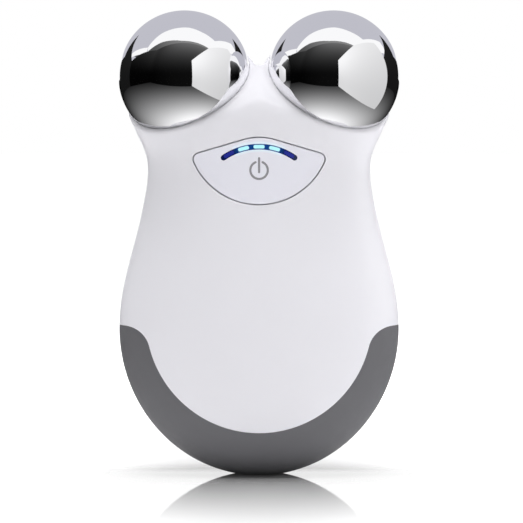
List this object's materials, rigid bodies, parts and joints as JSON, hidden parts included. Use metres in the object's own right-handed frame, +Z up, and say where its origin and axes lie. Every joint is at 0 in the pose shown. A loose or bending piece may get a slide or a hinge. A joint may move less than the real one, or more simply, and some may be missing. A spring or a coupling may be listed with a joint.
{
  "type": "facial toning device",
  "caption": "Handheld battery facial toning device with polished spheres in tilted cups, a lens-shaped push button with a light arc, and a soft grip round its base.",
  "frame": {"origin": "middle of the small flat foot under the body, on the surface that the device stands on", "axes": "+X across the width, -Y towards the button side, +Z up towards the spheres"},
  "size_m": [0.065, 0.039, 0.1074],
  "materials": {
    "shell_white": "satin moulded plastic",
    "grip_grey": "soft-touch overmould",
    "screw_steel": "zinc plated",
    "sphere_chrome": "mirror polished",
    "silicone": "translucent silicone",
    "contact_brass": "plated",
    "lead_white": "insulated lead",
    "button_white": "satin moulded plastic",
    "symbol_grey": "printed ink",
    "window_blue": "dark tinted lens",
    "guide_cyan": "frosted clear plastic",
    "led_body": "moulded",
    "part_black": "moulded",
    "plunger_white": "moulded",
    "board_green": "solder mask",
    "capacitor_tan": "ceramic",
    "chassis_grey": "moulded",
    "battery_foil": "foil pouch",
    "foam_grey": "adhesive foam",
    "lead_black": "insulated lead",
    "lead_red": "insulated lead"
  },
  "bodies": {
    "housing": {"front_shell": "shell_white", "rear_shell": "shell_white", "base_grip": "grip_grey", "screw_plugs": "shell_white", "shell_screws": "screw_steel", "left_sphere": "sphere_chrome", "right_sphere": "sphere_chrome", "sphere_seals": "silicone", "sphere_terminals": "contact_brass", "sphere_nuts": "screw_steel", "left_sphere_lead": "lead_white", "right_sphere_lead": "lead_white", "return_pads": "silicone", "main_board": "board_green", "board_screws": "screw_steel", "switch_body": "part_black", "status_leds": "led_body", "light_baffle": "part_black", "controller_chip": "part_black", "battery_header": "plunger_white", "boost_inductor": "part_black", "buzzer": "part_black", "capacitors": "capacitor_tan", "inner_chassis": "chassis_grey", "battery_cell": "battery_foil", "battery_pad": "foam_grey", "battery_lead_negative": "lead_black", "battery_lead_positive": "lead_red", "charging_socket": "part_black", "socket_pin": "contact_brass", "charge_leads": "lead_red"},
    "button": {"button_cap": "button_white", "power_symbol": "symbol_grey", "indicator_window": "window_blue", "light_guide": "guide_cyan"},
    "plunger": {"switch_plunger": "plunger_white"}
  },
  "joints": [
    {"name": "button_press", "type": "slide", "parent": "housing", "child": "button", "axis": [0, 1, 0], "range_m": [0, 0.00035], "stiffness_N_per_m": 1500, "springref_m": -0.0008},
    {"name": "plunger_press", "type": "slide", "parent": "housing", "child": "plunger", "axis": [0, 1, 0], "range_m": [0, 0.00035]}
  ],
  "couplings": [
    {"joint": "plunger_press", "follows": "button_press", "ratio": 1}
  ]
}
